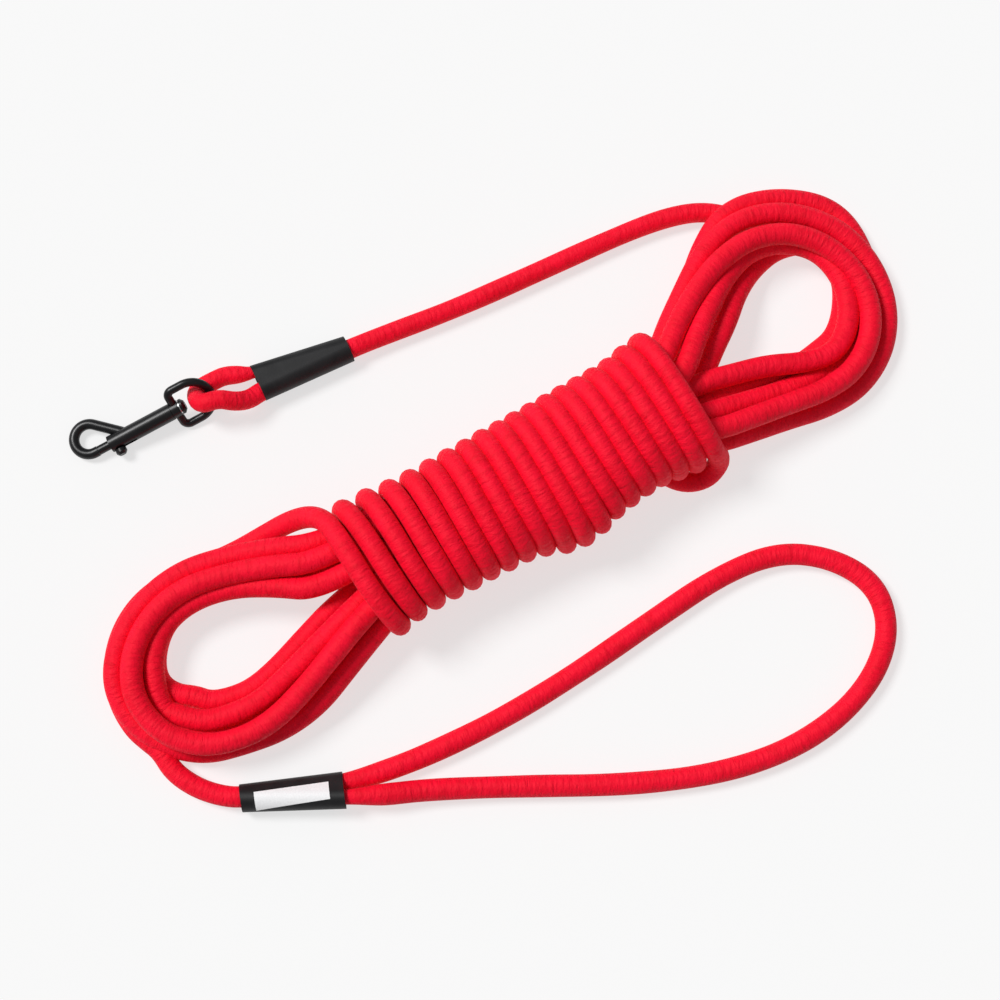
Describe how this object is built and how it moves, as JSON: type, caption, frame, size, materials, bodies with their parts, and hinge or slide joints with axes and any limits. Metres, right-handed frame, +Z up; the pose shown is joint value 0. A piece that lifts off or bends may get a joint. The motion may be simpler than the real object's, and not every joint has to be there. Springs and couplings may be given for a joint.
{
  "type": "lead rope",
  "caption": "Round lead rope with a swivel bolt snap, tapered sleeve and hand loop, stored as a hank with a wrapped middle.",
  "frame": {"origin": "on the surface that the hank lies on, under the middle of its wraps", "axes": "+X along the hank towards the lead's side loop, +Z up, +Y towards the snap and lead"},
  "size_m": [0.416, 0.2946, 0.048],
  "materials": {
    "rope": "bright red round rope with a fine crosswise wrinkle",
    "sleeve_black": "satin black shrunk rubber",
    "whipping_thread": "waxed black thread",
    "label_white": "plain white patch",
    "black_paint": "gloss black paint on cast zinc",
    "spring_steel": "bright spring steel"
  },
  "bodies": {
    "root": {"rope_bight": "rope", "rope_in_sleeve": "rope", "rope_cut_end": "rope", "rope_lead": "rope", "rope_hank": "rope", "rope_tail": "rope", "rope_in_ferrule": "rope", "rope_loop_end": "rope", "rope_hand_loop": "rope", "sleeve": "sleeve_black", "whipping_rear": "whipping_thread", "whipping_front": "whipping_thread", "ferrule": "sleeve_black", "whipping_loop": "whipping_thread", "label_patch": "label_white"},
    "eye": {"swivel_eye": "black_paint"},
    "snap": {"snap_body": "black_paint", "swivel_pin": "black_paint", "swivel_washer": "spring_steel", "bolt_spring": "spring_steel"},
    "bolt": {"snap_bolt": "black_paint", "thumb_knob": "black_paint"}
  },
  "joints": [
    {"name": "eye_swing", "type": "hinge", "parent": "root", "child": "eye", "pos_m": [-0.11186, 0.1124, 0.01123], "axis": [-0.0874, 0.7071, 0.7017], "range_deg": [-75, 75]},
    {"name": "snap_swivel", "type": "hinge", "parent": "eye", "child": "snap", "pos_m": [-0.1322, 0.1124, 0.0087], "axis": [0.9923, 0, 0.1236], "continuous": true},
    {"name": "bolt_slide", "type": "slide", "parent": "snap", "child": "bolt", "axis": [0.9923, 0, 0.1236], "range_m": [0, 0.0078], "stiffness_N_per_m": 250, "springref_m": -0.008, "deforming": ["bolt_spring"]}
  ]
}
